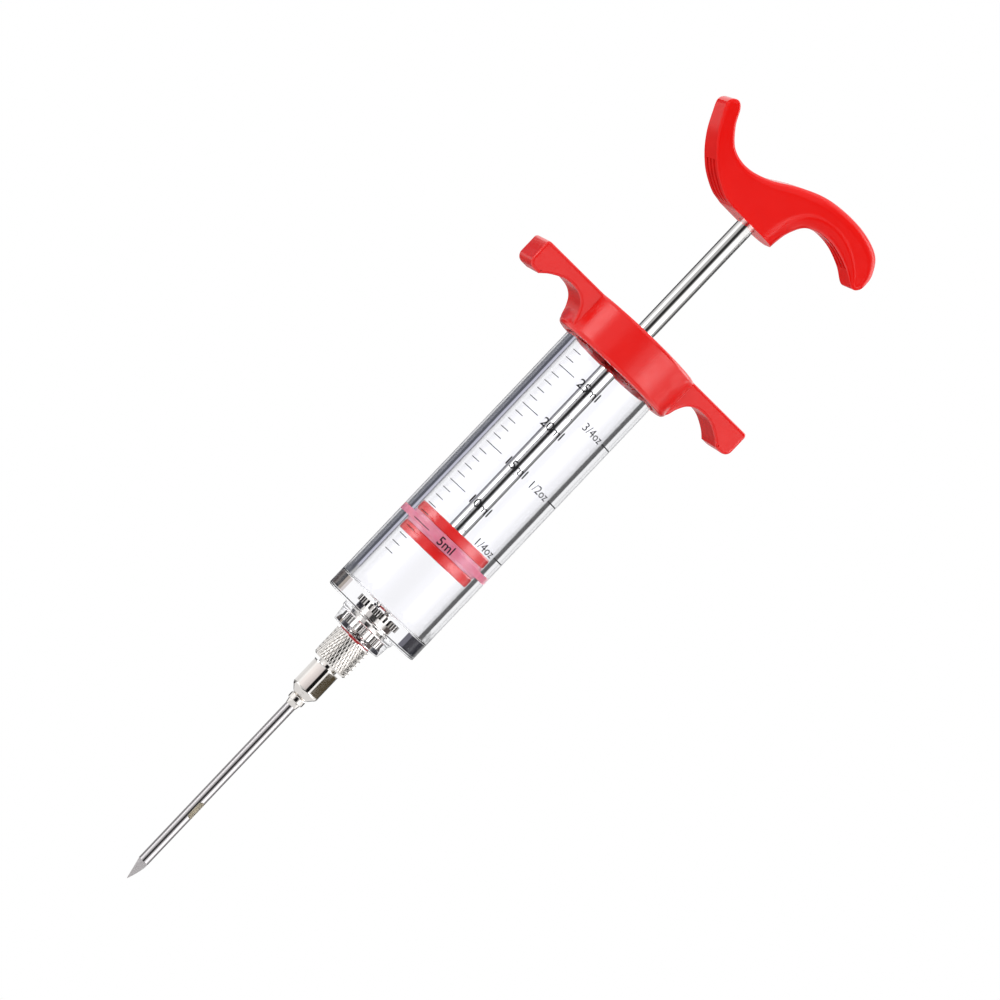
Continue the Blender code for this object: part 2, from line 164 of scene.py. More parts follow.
def smoothed(mesh, sharp=35):
    """Shades a mesh smooth but for its edges sharper than so many degrees."""
    mesh.shade_smooth()
    mesh.set_sharp_from_angle(angle=radians(sharp))


def lofted(name, rings, material, closed=False, sharp=35):
    """An object from rings of points."""
    bm = bmesh.new()
    add_rings(bm, rings, closed)
    bmesh.ops.recalc_face_normals(bm, faces=bm.faces)
    mesh = bpy.data.meshes.new(name)
    bm.to_mesh(mesh)
    bm.free()
    smoothed(mesh, sharp)
    mesh.materials.append(material)
    return placed(name, mesh)


def circle(radius, height, sides):
    """Points of one ring. The radius is a number or a function of the angle."""
    points = []
    for i in range(sides):
        angle = 2 * pi * i / sides
        r = radius(angle) if callable(radius) else radius
        points.append((r * cos(angle), r * sin(angle), height))
    return points


def supported(outline, closed):
    """The outline with a point close to both ends of its long runs, for even shading."""
    made = []
    ends = outline[1:] + [outline[0]] if closed else outline[1:]
    for (r, z), (next_r, next_z) in zip(outline, ends):
        made.append((r, z))
        if callable(r) or callable(next_r):
            continue
        length = Vector((next_r - r, next_z - z)).length
        if length > 5 * EDGE_MARGIN:
            for share in (EDGE_MARGIN / length, 1 - EDGE_MARGIN / length):
                made.append((r + (next_r - r) * share, z + (next_z - z) * share))
    return made if closed else made + [outline[-1]]


def turned(name, outline, material, sides=128, closed=True):
    """Turns an outline of (radius, height). One that isn't closed ends in flat caps."""
    rings = [circle(radius, height, sides) for radius, height in supported(outline, closed)]
    return lofted(name, rings, material, closed)


def arc(centre, radius, first, last, steps=6):
    """Points of an arc round centre, between two angles in degrees."""
    x, z = centre
    made = []
    for step in range(steps + 1):
        angle = radians(first + (last - first) * step / steps)
        made.append((x + radius * cos(angle), z + radius * sin(angle)))
    return made


def smooth_curve(points, per_span=4, closed=False):
    """A Catmull-Rom curve through points. An open one keeps both its ends."""
    points = [Vector(point) for point in points]
    ends = [points[0]] + points + [points[-1]]
    if closed:
        ends = [points[-1]] + points + points[:2]
    curve = []
    for a, b, c, d in zip(ends, ends[1:], ends[2:], ends[3:]):
        for step in range(per_span):
            t = step / per_span
            place = 2 * b + (c - a) * t + (2 * a - 5 * b + 4 * c - d) * t * t
            place += (3 * b - a - 3 * c + d) * t * t * t
            curve.append(tuple(place / 2))
    return curve if closed else curve + [tuple(points[-1])]


def slab(name, outline, half_width, material, centre_y=0.0, steps=7):
    """A plate across Y. Its outline of (x, z, rounding) runs clockwise, and a fillet of that
    radius runs round both of its rims."""
    inward = []
    count = len(outline)
    for i in range(count):
        before = Vector(outline[i - 1][:2])
        after = Vector(outline[(i + 1) % count][:2])
        chord = (after - before).normalized()
        inward.append((chord.y, -chord.x))
    levels = [(-EDGE_MARGIN, 0.0)]
    levels += [(0.0, radians(90 * step / steps)) for step in range(steps + 1)]
    levels += [(EDGE_MARGIN, radians(90))]
    rings = []
    for side, order in ((-1, reversed(levels)), (1, levels)):
        for past, turn in order:
            ring = []
            for (x, z, rounding), (across, up) in zip(outline, inward):
                inset = rounding * (1 - cos(turn)) + max(0.0, past)
                y = half_width - rounding + rounding * sin(turn) + min(0.0, past)
                ring.append((x + across * inset, centre_y + side * y, z + up * inset))
            rings.append(ring)
    return lofted(name, rings, material)


def block(name, outline, half_width, material, centre_y=0.0):
    """A plate across Y with square rims, from an outline of (x, z)."""
    rings = [[(x, centre_y + side * half_width, z) for x, z in outline] for side in (-1, 1)]
    return lofted(name, rings, material)


def sector(name, outline, material, start, sweep, steps=24):
    """An outline of (radius, height) turned through part of a circle."""
    rings = []
    for step in range(steps + 1):
        angle = start + sweep * step / steps
        rings.append([(r * cos(angle), r * sin(angle), height) for r, height in outline])
    return lofted(name, rings, material)


def cut(piece, cutters, operation="DIFFERENCE"):
    """Cuts or joins each of the other pieces, which are used up."""
    for cutter in cutters:
        step = piece.modifiers.new("step", "BOOLEAN")
        step.operation = operation
        step.solver = "MANIFOLD"
        step.object = cutter
        graph = bpy.context.evaluated_depsgraph_get()
        graph.update()
        mesh = bpy.data.meshes.new_from_object(piece.evaluated_get(graph))
        piece.modifiers.clear()
        piece.data = mesh
    for cutter in cutters:
        bpy.data.objects.remove(cutter, do_unlink=True)
    smoothed(piece.data)
    return piece


# Materials


def principled(name, colour, roughness, metallic=0.0, ior=1.5, **more):
    """A new material with its Principled shader set. Other sockets are given by name."""
    material = bpy.data.materials.new(name)
    material.use_nodes = True
    shader = material.node_tree.nodes["Principled BSDF"]
    shader.inputs["Base Color"].default_value = (*colour, 1.0)
    shader.inputs["Roughness"].default_value = roughness
    shader.inputs["Metallic"].default_value = metallic
    shader.inputs["IOR"].default_value = ior
    for socket, value in more.items():
        shader.inputs[socket.replace("_", " ")].default_value = value
    return material, material.node_tree, shader


def noise(tree, scale, detail=3.0, stretch=(1, 1, 1)):
    """A noise texture in object space, in features per metre."""
    coordinates = tree.nodes.new("ShaderNodeTexCoord")
    mapping = tree.nodes.new("ShaderNodeMapping")
    mapping.inputs["Scale"].default_value = stretch
    texture = tree.nodes.new("ShaderNodeTexNoise")
    texture.inputs["Scale"].default_value = scale
    texture.inputs["Detail"].default_value = detail
    tree.links.new(coordinates.outputs["Object"], mapping.inputs["Vector"])
    tree.links.new(mapping.outputs["Vector"], texture.inputs["Vector"])
    return texture.outputs["Fac"]


def bump(tree, shader, height, distance, strength):
    node = tree.nodes.new("ShaderNodeBump")
    node.inputs["Strength"].default_value = strength
    node.inputs["Distance"].default_value = distance
    tree.links.new(height, node.inputs["Height"])
    tree.links.new(node.outputs["Normal"], shader.inputs["Normal"])


def calculated(tree, operation, first, second=0.0):
    node = tree.nodes.new("ShaderNodeMath")
    node.operation = operation
    for socket, value in zip(node.inputs, (first, second)):
        if isinstance(value, (int, float)):
            socket.default_value = value
        else:
            tree.links.new(value, socket)
    return node.outputs["Value"]


def along(tree, vector, direction):
    """How far a vector reaches along a direction."""
    node = tree.nodes.new("ShaderNodeVectorMath")
    node.operation = "DOT_PRODUCT"
    tree.links.new(vector, node.inputs[0])
    node.inputs[1].default_value = direction
    return node.outputs["Value"]


def between(tree, value, low, high, start=0.0, end=1.0, course="SMOOTHSTEP"):
    """A step from start, where value is low, to end, where it is high."""
    node = tree.nodes.new("ShaderNodeMapRange")
    node.interpolation_type = course
    limits = {"From Min": low, "From Max": high, "To Min": start, "To Max": end}
    for name, limit in limits.items():
        node.inputs[name].default_value = limit
    tree.links.new(value, node.inputs["Value"])
    return node.outputs["Result"]


def ranged(tree, value, low, high):
    """The noise's usable middle stretched to run from low to high."""
    return between(tree, value, 0.3, 0.7, low, high, "LINEAR")


def blended(tree, factor, first, second):
    """Mixes two colours, each a constant or a socket."""
    node = tree.nodes.new("ShaderNodeMix")
    node.data_type = "RGBA"
    tree.links.new(factor, node.inputs["Factor"])
    for name, value in (("A", first), ("B", second)):
        if isinstance(value, tuple):
            node.inputs[name].default_value = (*value, 1.0)
        else:
            tree.links.new(value, node.inputs[name])
    return node.outputs["Result"]


def tinted(tree, shader, pattern, colour, other):
    """Varies the base colour between two tints."""
    share = ranged(tree, pattern, 0.0, 1.0)
    tree.links.new(blended(tree, share, colour, other), shader.inputs["Base Color"])


def glossed(tree, shader, pattern, low, high):
    """Varies the roughness."""
    tree.links.new(ranged(tree, pattern, low, high), shader.inputs["Roughness"])


def red_plastic(name, colour, lighter, roughness=0.20, shine=0.5):
    """Satin-gloss moulded plastic: nearly even red, a faint mottle and a very fine skin texture."""
    material, tree, shader = principled(
        name, colour, roughness, ior=1.47, Specular_IOR_Level=shine
    )
    tinted(tree, shader, noise(tree, 90.0), colour, lighter)
    glossed(tree, shader, noise(tree, 400.0, 4.0), roughness * 0.8, roughness * 1.15)
    bump(tree, shader, noise(tree, 2500.0, 2.0), 0.006 * MM, 0.5)
    return material


def clear_plastic():
    """Clear moulded plastic with a cold tint and faint waves, behind which things waver."""
    material, tree, shader = principled(
        "clear_plastic", (0.975, 0.975, 0.995), 0.0, ior=1.5, Transmission_Weight=1.0
    )
    shader.inputs["Specular Tint"].default_value = (0.3, 0.3, 0.32, 1.0)
    waves = noise(tree, 380.0, 2.0, (1, 1, 0.55))
    bump(tree, shader, waves, 0.010 * MM, 0.6)
    glossed(tree, shader, noise(tree, 1200.0), 0.0, 0.012)
    return material


def polished(name, colour, roughness, grain, depth=0.0008 * MM):
    """Polished metal with fine marks round the axis from turning and polishing."""
    material, tree, shader = principled(name, colour, roughness, metallic=1.0)
    darker = tuple(channel * 0.95 for channel in colour)
    tinted(tree, shader, noise(tree, 250.0), colour, darker)
    marks = noise(tree, 900.0, 4.0, (1, 1, grain))
    glossed(tree, shader, marks, roughness * 0.7, roughness * 1.3)
    bump(tree, shader, marks, depth, 0.2)
    return material


def axis_distance(tree):
    """Distance of the shaded point from the syringe's axis."""
    coordinates = tree.nodes.new("ShaderNodeTexCoord")
    flat = tree.nodes.new("ShaderNodeVectorMath")
    flat.operation = "MULTIPLY"
    flat.inputs[1].default_value = (1, 1, 0)
    tree.links.new(coordinates.outputs["Object"], flat.inputs[0])
    distance = tree.nodes.new("ShaderNodeVectorMath")
    distance.operation = "LENGTH"
    tree.links.new(flat.outputs["Vector"], distance.inputs[0])
    return distance.outputs["Value"]


def insert_metal():
    """Nickel with painted shade in the knurl's grooves, darkest in the upper band."""
    material = polished("insert_nickel", (0.80, 0.77, 0.74), 0.05, 6.0, 0.0002 * MM)
    tree = material.node_tree
    socket = tree.nodes["Principled BSDF"].inputs["Base Color"]
    distance = axis_distance(tree)
    # Painted shade: deep in the knurl's grooves the colour turns grey, and nearly black in the
    # upper band.
    above_collar = between(tree, distance, INSERT_RADIUS - 0.32 * MM, INSERT_RADIUS - 0.26 * MM)
    below_land = between(tree, distance, INSERT_RADIUS - 0.03 * MM, INSERT_RADIUS - 0.08 * MM)
    groove = calculated(tree, "MULTIPLY", above_collar, below_land)
    place = tree.nodes["Texture Coordinate"].outputs["Object"]
    middle = (INSERT_BOTTOM + INSERT_TOP) / 2
    darker_shade_band = between(tree, along(tree, place, (0, 0, 1)), middle - MM, middle + MM)
    shade = blended(tree, darker_shade_band, (0.52, 0.50, 0.49), (0.05, 0.05, 0.05))
    tree.links.new(blended(tree, groove, socket.links[0].from_socket, shade), socket)
    return material


def tube_metal():
    """Drawn and polished steel outside, dull and brownish in the bore."""
    material = polished("tube_steel", (0.50, 0.48, 0.49), 0.15, 0.15)
    tree = material.node_tree
    shader = tree.nodes["Principled BSDF"]
    outside = between(tree, axis_distance(tree), 1.15 * MM, 1.3 * MM)
    colour, roughness = shader.inputs["Base Color"], shader.inputs["Roughness"]
    dull = (0.74, 0.69, 0.58)
    tree.links.new(blended(tree, outside, dull, colour.links[0].from_socket), colour)
    polish = calculated(tree, "MULTIPLY", outside, roughness.links[0].from_socket)
    rough = between(tree, outside, 0.0, 1.0, 0.6, 0.0)
    tree.links.new(calculated(tree, "ADD", polish, rough), roughness)
    tree.links.new(outside, shader.inputs["Metallic"])
    return material


def ground_metal():
    """Dull grey steel with marks from grinding."""
    material, tree, shader = principled("ground_steel", (0.42, 0.40, 0.405), 0.5, metallic=0.2)
    marks = noise(tree, 1500.0, 4.0, (1, 1, 6))
    tinted(tree, shader, marks, (0.405, 0.385, 0.39), (0.435, 0.415, 0.42))
    glossed(tree, shader, marks, 0.45, 0.55)
    bump(tree, shader, marks, 0.001 * MM, 0.2)
    return material


def silicone(name, colour, lighter, scatter):
    """Soft rubber that lets some light in, slightly cloudy."""
    material, tree, shader = principled(
        name, colour, 0.38, ior=1.42, Subsurface_Weight=scatter, Subsurface_Scale=1.5 * MM
    )
    tinted(tree, shader, noise(tree, 300.0), colour, lighter)
    glossed(tree, shader, noise(tree, 1500.0), 0.3, 0.45)
    return material


def ink():
    """Matt black print that is thinner in places."""
    material, tree, shader = principled("scale_ink", (0.01, 0.01, 0.012), 0.6, ior=1.25)
    tinted(tree, shader, noise(tree, 1800.0), (0.004, 0.004, 0.005), (0.025, 0.025, 0.028))
    return material


def turned_brass():
    """Brass with marks from turning."""
    material, tree, shader = principled("turned_brass", (0.78, 0.58, 0.26), 0.3, metallic=1.0)
    marks = noise(tree, 900.0, 4.0, (1, 1, 8))
    tinted(tree, shader, marks, (0.74, 0.54, 0.22), (0.82, 0.64, 0.32))
    glossed(tree, shader, marks, 0.22, 0.38)
    return material


red = red_plastic("red_plastic", (0.765, 0.0085, 0.007), (0.80, 0.0115, 0.009))
# A copy of the same red plastic for the handle, with its base colour set apart to stand in for the
# light on the handle: painted light and shade. Its lower roughness and specular level belong to
# this copy too.
red_as_lit_on_handle = red_plastic("red_plastic_as_lit_on_handle", (0.78, 0.006, 0.004), (0.81, 0.008, 0.006), 0.15, 0.17)
clear = clear_plastic()
steel = polished("polished_steel", (0.76, 0.75, 0.74), 0.045, 10.0, 0.0002 * MM)
tube_steel = tube_metal()
nickel = polished("nickel_plate", (0.80, 0.77, 0.74), 0.03, 6.0, 0.0002 * MM)
# Nickel with painted shade in its knurl's grooves, for the neck's insert.
groove_shaded_nickel = insert_metal()
ground = ground_metal()
pink_silicone = silicone("pink_silicone", (0.81, 0.20, 0.31), (0.89, 0.34, 0.45), 0.5)
red_silicone = silicone("red_silicone", (0.60, 0.025, 0.035), (0.68, 0.04, 0.05), 0.1)
black_ink = ink()
brass = turned_brass()


# Barrel


def lug_radius(angle):
    """Radius of the barrel's outside at the height of its bayonet lugs, at front and back."""
    off = abs(abs((angle + pi) % (2 * pi) - pi) - pi / 2)
    return LUG_RADIUS if off < LUG_ANGLE / 2 else BARREL_RADIUS


def barrel():
    """Clear barrel with its solid base disc, stepped neck, moulded-in pocket and bayonet lugs."""
    corner = 0.35 * MM
    fillet = 0.35 * MM
    neck = 7.15 * MM
    bead = 7.85 * MM
    pocket = INSERT_RADIUS - 0.75 * MM
    seat = gasket_high.x + 0.3 * MM
    through = 3.35 * MM
    outline = [(seat, NECK_BOTTOM)]
    outline += arc((neck - corner, NECK_BOTTOM + corner), corner, -90, 0, 4)
    outline += [(neck + 0.35 * MM, DISC_BOTTOM - 1.5 * MM)]
    outline += arc((bead - corner, DISC_BOTTOM - 1.3 * MM), corner, -70, 0, 4)
    outline += [(bead, DISC_BOTTOM - 0.4 * MM), (bead + 0.4 * MM, DISC_BOTTOM)]
    outline += arc((BARREL_RADIUS - corner, DISC_BOTTOM + corner), corner, -90, 0, 5)
    outline += [(BARREL_RADIUS, LUG_BOTTOM - 0.05 * MM), (lug_radius, LUG_BOTTOM)]
    outline += [(lug_radius, LUG_TOP), (BARREL_RADIUS, LUG_TOP + 0.05 * MM)]
    outline += arc((BARREL_RADIUS - corner, BARREL_TOP - corner), corner, 0, 90, 4)
    outline += arc((BORE_RADIUS + corner, BARREL_TOP - corner), corner, 90, 180, 4)
    outline += arc((BORE_RADIUS - fillet, FLOOR_TOP + fillet), fillet, 0, -90, 6)
    outline += [
        (2.2 * MM, FLOOR_TOP),
        (1.6 * MM, FLOOR_TOP - 0.6 * MM),
        (1.6 * MM, INSERT_TOP - 0.05 * MM),
        (pocket, INSERT_TOP - 0.05 * MM),
        (pocket, INSERT_BOTTOM + 0.05 * MM),
        (through, INSERT_BOTTOM + 0.05 * MM),
        (through, SEAT_TOP),
        (seat, SEAT_TOP),
    ]
    return turned("clear_barrel", outline, clear, sides=256)


clear_barrel = barrel()
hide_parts("barrel")
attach(clear_barrel, "barrel")


def knurl_profile(phase, flat):
    """Height of a knurl's tooth, 0 in its groove and 1 on its land, whose share of the pitch is
    flat."""
    distance = abs((phase / (2 * pi)) % 1.0 - 0.5) * 2
    return min(1.0, (1 - distance) / (1 - flat))


def neck_insert():
    """Thread insert: two straight-knurled bands, with polished collars between them."""
    teeth = 27
    depth = 0.22 * MM
    collar = INSERT_RADIUS - 0.55 * MM
    waist = collar - 0.5 * MM
    length = INSERT_TOP - INSERT_BOTTOM

    def knurled(angle):
        return INSERT_RADIUS - depth * (1 - knurl_profile(teeth * angle, 0.45))

    steps = [(0.0, knurled), (0.31, knurled), (0.315, collar), (0.49, collar), (0.495, waist)]
    steps += [(0.555, waist), (0.56, collar), (0.77, collar), (0.775, knurled), (1.0, knurled)]
    sides = teeth * 10
    bore = 3.2 * MM
    rings = [circle(radius, INSERT_BOTTOM + share * length, sides) for share, radius in steps]
    rings += [circle(bore, INSERT_TOP, sides), circle(bore, INSERT_BOTTOM, sides)]
    return lofted("knurled_neck_insert", rings, groove_shaded_nickel, closed=True, sharp=25)


piece = neck_insert()
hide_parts("neck_insert")
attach(piece, "barrel")


# Needle


def gasket():
    inner, outer = 3.3 * MM, gasket_high.x + 0.2 * MM
    low, high = DRUM_TOP + 0.02 * MM, SEAT_TOP - 0.02 * MM
    r = (high - low) * 0.3
    outline = arc((outer - r, low + r), r, -90, 0) + arc((outer - r, high - r), r, 0, 90)
    outline += arc((inner + r, high - r), r, 90, 180) + arc((inner + r, low + r), r, 180, 270)
    return turned("red_gasket", outline, red_silicone, 96)


piece = gasket()
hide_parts("needle_gasket")
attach(piece, "gasket")


def hexagon_radius(turn, cone):
    """Radius of a hexagon with slightly crowned flats and softened edges, trimmed by a cone."""
    crown = 0.06 * MM
    sharpness = 30
    limit = min(HEXAGON_CORNER - 0.30 * MM, cone)

    def radius(angle):
        off = (angle - turn + pi / 6) % (pi / 3) - pi / 6
        share = tan(off) / tan(pi / 6)
        flat = (HEXAGON_APOTHEM - crown * share * share) / cos(off)
        return (flat ** -sharpness + limit ** -sharpness) ** (-1 / sharpness)

    return radius


def drum_radius(height):
    """Radius of the diamond-knurled drum, whose two sets of grooves cross."""
    starts = 35
    climb = 2 * pi / (2.65 * MM)
    depth = 0.12 * MM
    land = 0.60
    edge = 0.45 * MM
    near_end = min(height - DRUM_BOTTOM, DRUM_TOP - height)
    bevel = max(0.0, edge - near_end)

    def radius(angle):
        one = knurl_profile(starts * angle + climb * height, land)
        other = knurl_profile(starts * angle - climb * height, land)
        return DRUM_RADIUS - max(depth * (1 - min(one, other)), bevel)

    return radius


def thread_radius(height, major):
    """Radius of a right-hand metric thread with a pitch of 1 mm."""
    pitch = 1.0 * MM
    depth = 0.55 * MM

    def radius(angle):
        phase = (height / pitch - angle / (2 * pi)) % 1.0
        tooth = min(1.0, max(0.0, 1.25 * (1 - abs(2 * phase - 1)) - 0.1))
        return major - depth * (1 - tooth)

    return radius


def needle_base():
    """Collar, bead, cone, hexagon, groove, knurled drum and threaded stud with its lumen."""
    sides = 700
    drum_rows = 150
    thread_rows = 60
    low = base_low.z
    turn = FACING_CAMERA + radians(-16.5)
    rings = [
        (TUBE_RADIUS + 0.05 * MM, low),
        (TUBE_RADIUS + 0.10 * MM, low + 0.12 * MM),
        (TUBE_RADIUS + 0.32 * MM, low + 1.25 * MM),
    ]
    bead = low + 2.1 * MM
    bead_radius = 2.18 * MM
    soft = 0.28 * MM
    rings += arc((bead_radius - soft, bead - 0.56 * MM), soft, -78, 0, 8)
    rings += [(bead_radius, bead - 0.52 * MM), (bead_radius, bead + 0.52 * MM)]
    rings += arc((bead_radius - soft, bead + 0.56 * MM), soft, 0, 78, 8)
    rings += [(1.75 * MM, bead + 0.85 * MM)]
    cone_foot = 3.15 * MM
    rings += [(2.35 * MM, bead + 1.3 * MM), (cone_foot, HEXAGON_BOTTOM)]
    for step in range(9):
        share = step / 8
        cone = cone_foot + 1.1 * MM * share
        height = HEXAGON_BOTTOM + 1.35 * MM * share ** 1.25
        rings.append((hexagon_radius(turn, cone), height))
    for height in (HEXAGON_BOTTOM + 1.5 * MM, HEXAGON_TOP - 0.5 * MM):
        rings.append((hexagon_radius(turn, HEXAGON_CORNER), height))
    for rise in (-0.35, -0.12, 0.0):
        cone = HEXAGON_CORNER + (0.35 + rise) * -0.9 * MM
        rings.append((hexagon_radius(turn, cone), HEXAGON_TOP + rise * MM))
    groove = 2.65 * MM
    rings += [(groove, HEXAGON_TOP + 0.02 * MM), (groove, DRUM_BOTTOM - 0.02 * MM)]
    for row in range(drum_rows + 1):
        height = DRUM_BOTTOM + (DRUM_TOP - DRUM_BOTTOM) * row / drum_rows
        rings.append((drum_radius(height), height))
    stud = 3.0 * MM
    rings.append((stud - 0.5 * MM, DRUM_TOP + 0.01 * MM))
    stud_top = base_high.z
    for row in range(thread_rows + 1):
        height = DRUM_TOP + 0.3 * MM + (stud_top - 0.6 * MM - DRUM_TOP) * row / thread_rows
        rings.append((thread_radius(height, stud), height))
    lumen = 1.1 * MM
    tube_hole = TUBE_RADIUS + 0.01 * MM
    tube_end = tube_high.z + 0.2 * MM
    rings += [(stud - 0.6 * MM, stud_top), (lumen, stud_top), (lumen, tube_end)]
    rings += [(tube_hole, tube_end), (tube_hole, low)]
    rings = [circle(radius, height, sides) for radius, height in rings]
    return lofted("needle_hub", rings, nickel, closed=True, sharp=30)


piece = needle_base()
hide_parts("needle_base")
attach(piece, "needle")


def needle_tube():
    """Steel tube with its side port, whose edge is slightly rounded."""
    low = point_low.z + POINT_LENGTH
    outline = [(TUBE_RADIUS - 0.04 * MM, low), (TUBE_RADIUS, low + 0.06 * MM)]
    outline += [(TUBE_RADIUS, tube_high.z), (TUBE_BORE, tube_high.z), (TUBE_BORE, low)]
    tube = turned("needle_shaft", outline, tube_steel, 96)
    length, width = 5.0 * MM, 2.0 * MM
    corner = 0.75 * MM
    centre = 23.5 * MM
    window = []
    for x, z, first in ((1, 1, 0), (-1, 1, 90), (-1, -1, 180), (1, -1, 270)):
        middle = (x * (width / 2 - corner), centre + z * (length / 2 - corner))
        window += arc(middle, corner, first, first + 90, 6)
    cutter = block("port", window, TUBE_RADIUS, tube_steel, centre_y=-TUBE_RADIUS)
    cutter.rotation_euler.z = radians(-56) + pi / 2
    return cut(tube, [cutter])


piece = needle_tube()
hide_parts("needle_tube")
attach(piece, "needle")


def needle_point():
    """Ground point: three flats meet at the tip and run out into the round shank."""
    sides = 96
    rings = []
    steps = 28
    blunt = 0.004
    taper = 1.55
    for step in range(steps + 1):
        share = step / steps
        height = POINT_LENGTH * max(share, blunt)
        round_radius = TUBE_RADIUS * (1 - (1 - share) ** taper) + 0.02 * MM

        def radius(angle, share=share, round_radius=round_radius):
            off = (angle + radians(75) + pi / 3) % (2 * pi / 3) - pi / 3
            flat = TUBE_RADIUS * (0.05 + 1.02 * share) * 0.86 / cos(off)
            return min(round_radius, flat, TUBE_RADIUS - 0.03 * MM)

        rings.append(circle(radius, height, sides))
    spigot = 1.0 * MM
    rings.append(circle(spigot, POINT_LENGTH, sides))
    rings.append(circle(spigot, POINT_LENGTH + 4.2 * MM, sides))
    return lofted("ground_point", rings, ground, sharp=20)


piece = needle_point()
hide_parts("needle_point")
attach(piece, "needle")


# Finger cap


def wing_outline():
    """Both wings from the front: flat on top, blunt tips, a scooped finger rest underneath."""
    rounding = 0.7 * MM
    top = CAP_TOP - 0.03 * MM
    top_corner = 0.9 * MM
    low_corner = 2.0 * MM
    depth = 7.5 * MM
    rest = [(29.0, 5.7), (25.2, 3.9), (21.4, 3.9), (18.9, 5.2), (17.4, 7.6), (16.5, 10.2)]
    rest += [(15.0, 11.2)]
    scoop = [(WING_TIP - 3.8 * MM, top - depth)]
    scoop += [(x * MM, top - down * MM) for x, down in rest]
    right = arc((WING_TIP - top_corner, top - top_corner), top_corner, 90, 0, 5)
    right += arc((WING_TIP - low_corner, top - depth + low_corner), low_corner, 0, -90, 7)
    right += smooth_curve(scoop, 6)
    both = right + [(-x, z) for x, z in reversed(right)]
    return [(x, z, rounding) for x, z in both]


def bayonet_cutters():
    """For each of the barrel's lugs, a slot that lets it in and a groove that it turns into."""
    cutters = []
    clearance = 0.3 * MM
    inside = BORE_RADIUS
    outside = LUG_RADIUS + clearance
    low, high = LUG_BOTTOM - clearance, LUG_TOP + clearance
    margin = radians(1.5)
    for side in (pi / 2, -pi / 2):
        start = side - CAP_TWIST - LUG_ANGLE / 2 - margin
        groove = [(inside, low), (outside, low), (outside, high), (inside, high)]
        sweep = CAP_TWIST + LUG_ANGLE + 2 * margin
        cutters.append(sector("groove", groove, red, start, sweep))
        mouth = CAP_BOTTOM - 0.5 * MM
        slot = [(inside, mouth), (outside, mouth), (outside, LUG_TOP), (inside, LUG_TOP)]
        cutters.append(sector("slot", slot, red, start, LUG_ANGLE + 2 * margin))
    return cutters


def finger_cap():
    """Ring with a rolled rim and two flat-topped wings, hollowed for the barrel, the rod and the
    bayonet."""
    lip = 0.8 * MM
    low_lip = 1.2 * MM
    outline = arc((RING_RADIUS - low_lip, CAP_BOTTOM + low_lip), low_lip, -90, 0, 7)
    outline += arc((RING_RADIUS - lip, CAP_TOP - lip), lip, 0, 90, 6)
    cap = turned("red_finger_cap", outline, red, 192, closed=False)
    cut(cap, [slab("wings", wing_outline(), WING_HALF_WIDTH, red)], "UNION")
    bore = BARREL_RADIUS + 0.3 * MM
    ceiling = BARREL_TOP + 0.4 * MM
    hole = ROD_RADIUS + 0.2 * MM
    mouth = bore + 0.5 * MM
    past = 0.5 * MM
    hollow = [(mouth, CAP_BOTTOM - past), (mouth, CAP_BOTTOM), (bore, CAP_BOTTOM + 0.5 * MM)]
    hollow += [(bore, ceiling), (hole, ceiling), (hole, CAP_TOP - 0.3 * MM)]
    hollow += [(hole + 0.3 * MM, CAP_TOP), (hole + 0.3 * MM, CAP_TOP + past)]
    cutters = [turned("cap_hollow", hollow, red, 192, closed=False)]
    return cut(cap, cutters + bayonet_cutters())


piece = finger_cap()
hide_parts("finger_cap")
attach(piece, "cap")


# Plunger


def disc(name, low, high):
    """Piston disc with rounded rims."""
    corner = 0.45 * MM
    outline = [(DISC_HOLE, low)]
    outline += arc((PISTON_RADIUS - corner, low + corner), corner, -90, 0, 5)
    outline += arc((PISTON_RADIUS - corner, high - corner), corner, 0, 90, 5)
    outline += [(DISC_HOLE, high)]
    return turned(name, outline, red, 192)


for node in ("piston_upper_disc", "piston_lower_disc"):
    low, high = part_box(node)
    piece = disc("red_" + node, low.z, high.z)
    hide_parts(node)
    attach(piece, "plunger")


def seal():
    """Silicone washer whose rim presses on the bore."""
    rim = BORE_RADIUS + 0.03 * MM
    body = PISTON_RADIUS - 0.1 * MM
    low, high = lower_high.z + 0.02 * MM, upper_low.z - 0.02 * MM
    soft = 0.25 * MM
    outline = [(DISC_HOLE, low), (body, low)]
    outline += arc((rim - soft, low + 0.65 * MM + soft), soft, -70, 0, 4)
    outline += arc((rim - soft, high - 0.65 * MM - soft), soft, 0, 70, 4)
    outline += [(body, high), (DISC_HOLE, high)]
    return turned("pink_seal", outline, pink_silicone, 192)


piece = seal()
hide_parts("piston_seal")
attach(piece, "seal")


def plunger_rod():
    """Rod with a thinner stud at both ends, for the piston and the handle."""
    stud = ROD_STUD_RADIUS
    shoulder = upper_high.z + 0.02 * MM
    top_shoulder = HUB_BOTTOM + 0.6 * MM
    chamfer = 0.25 * MM
    outline = [
        (stud - chamfer, rod_low.z),
        (stud, rod_low.z + chamfer),
        (stud, shoulder),
        (ROD_RADIUS, shoulder),
        (ROD_RADIUS, top_shoulder),
        (stud, top_shoulder),
        (stud, rod_high.z - chamfer),
        (stud - chamfer, rod_high.z),
    ]
    return turned("polished_rod", outline, steel, 128, closed=False)


piece = plunger_rod()
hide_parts("plunger_rod")
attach(piece, "plunger")


